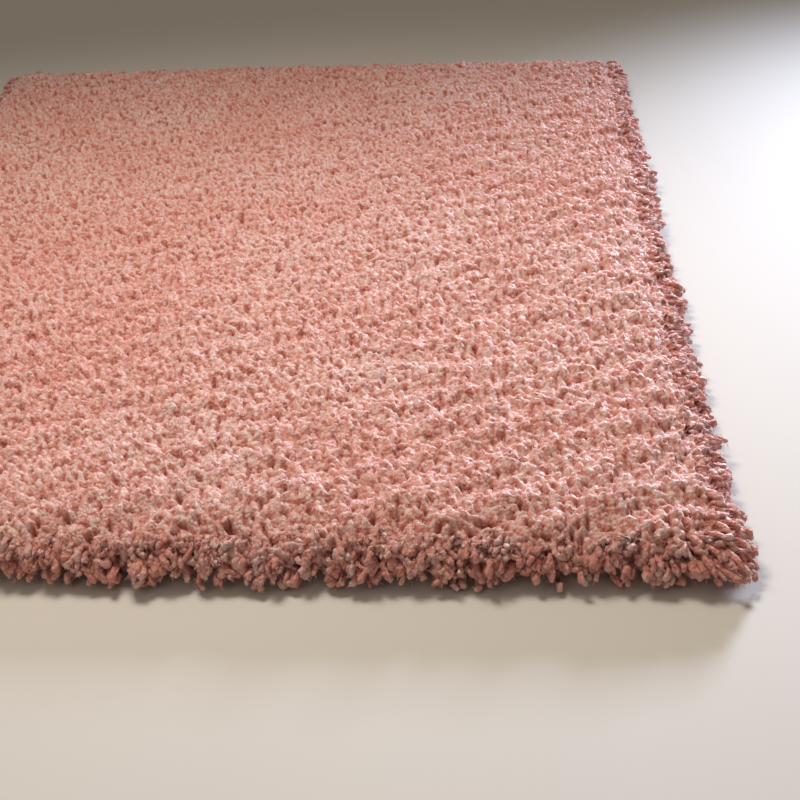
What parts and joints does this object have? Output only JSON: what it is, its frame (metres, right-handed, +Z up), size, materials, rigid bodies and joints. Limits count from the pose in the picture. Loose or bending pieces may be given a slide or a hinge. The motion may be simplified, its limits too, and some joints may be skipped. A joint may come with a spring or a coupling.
{
  "type": "shag rug",
  "caption": "Small rectangular shag rug in one colour: a thick slab of blunt-cut pile yarn on a flat ground cloth, with locks that splay over its edge all round.",
  "frame": {"origin": "on the floor, under the middle of the rug's outer bounds", "axes": "+X along the short side, +Y along the long side, +Z up out of the pile"},
  "size_m": [0.7014, 1.001, 0.0348],
  "materials": {
    "pile_yarn": "dusty salmon pink cut pile yarn, softly twisted, with a satin sheen on its tips",
    "ground_cloth": "plain woven beige ground cloth"
  },
  "bodies": {
    "root": {"shag_rug": "pile_yarn"}
  },
  "joints": []
}
